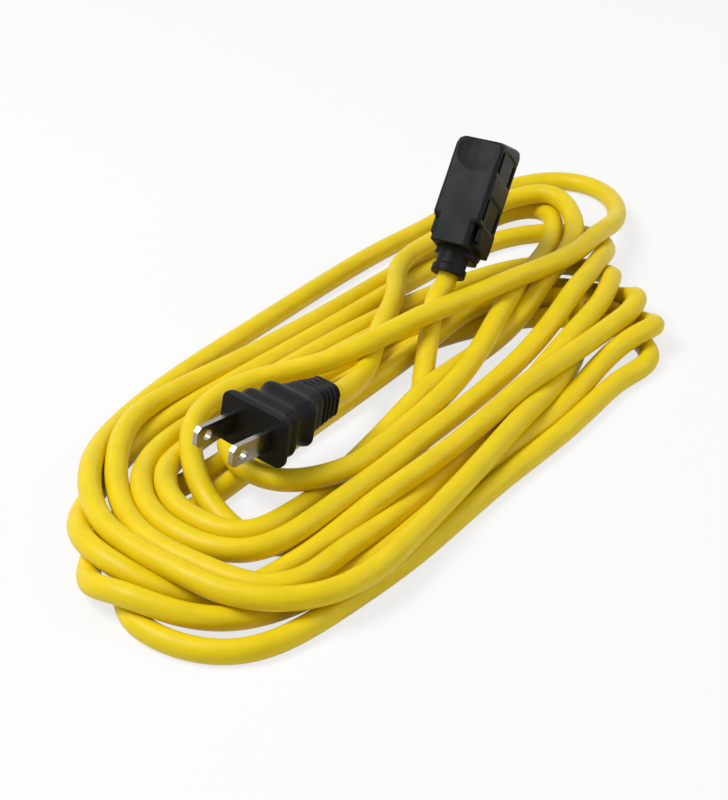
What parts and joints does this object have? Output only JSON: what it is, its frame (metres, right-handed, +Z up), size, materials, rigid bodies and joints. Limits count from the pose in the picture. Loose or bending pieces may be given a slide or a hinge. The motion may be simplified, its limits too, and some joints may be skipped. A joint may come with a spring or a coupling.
{
  "type": "extension cord",
  "caption": "Household extension cord wound in a loose long oval coil, with a moulded flat-blade plug and a block-shaped multi-outlet connector.",
  "frame": {"origin": "centre of the bounding box in plan, on the surface that the coil rests on", "axes": "+X along the coil's long axis, towards the end where its single loops fan out; +Z up; +Y across the coil, completing a right-handed frame"},
  "size_m": [0.2822, 0.1169, 0.0566],
  "materials": {
    "cord_jacket": "semi-gloss extruded PVC, yellow",
    "plug_moulding": "satin moulded PVC, black",
    "connector_moulding": "satin moulded PVC, black",
    "blade_nickel": "nickel-plated stamped brass",
    "contact_brass": "stamped spring brass",
    "copper_core": "stranded copper core, plain",
    "wire_black": "matte PVC wire insulation",
    "wire_white": "matte PVC wire insulation",
    "inner_carrier": "matte moulded insert"
  },
  "bodies": {
    "root": {"cord_coil": "cord_jacket", "cord_plug_lead": "cord_jacket", "cord_connector_lead": "cord_jacket", "plug_body": "plug_moulding", "plug_carrier": "inner_carrier", "plug_blade_line": "blade_nickel", "plug_blade_neutral": "blade_nickel", "plug_core_line": "copper_core", "plug_core_neutral": "copper_core", "plug_wire_line": "wire_black", "plug_wire_neutral": "wire_white", "connector_body": "connector_moulding", "connector_carrier": "inner_carrier", "bus_line": "contact_brass", "bus_neutral": "contact_brass", "contact_line_1": "contact_brass", "contact_line_2": "contact_brass", "contact_line_3": "contact_brass", "contact_neutral_1": "contact_brass", "contact_neutral_2": "contact_brass", "contact_neutral_3": "contact_brass", "connector_core_line": "copper_core", "connector_core_neutral": "copper_core", "connector_wire_line": "wire_black", "connector_wire_neutral": "wire_white"}
  },
  "joints": []
}
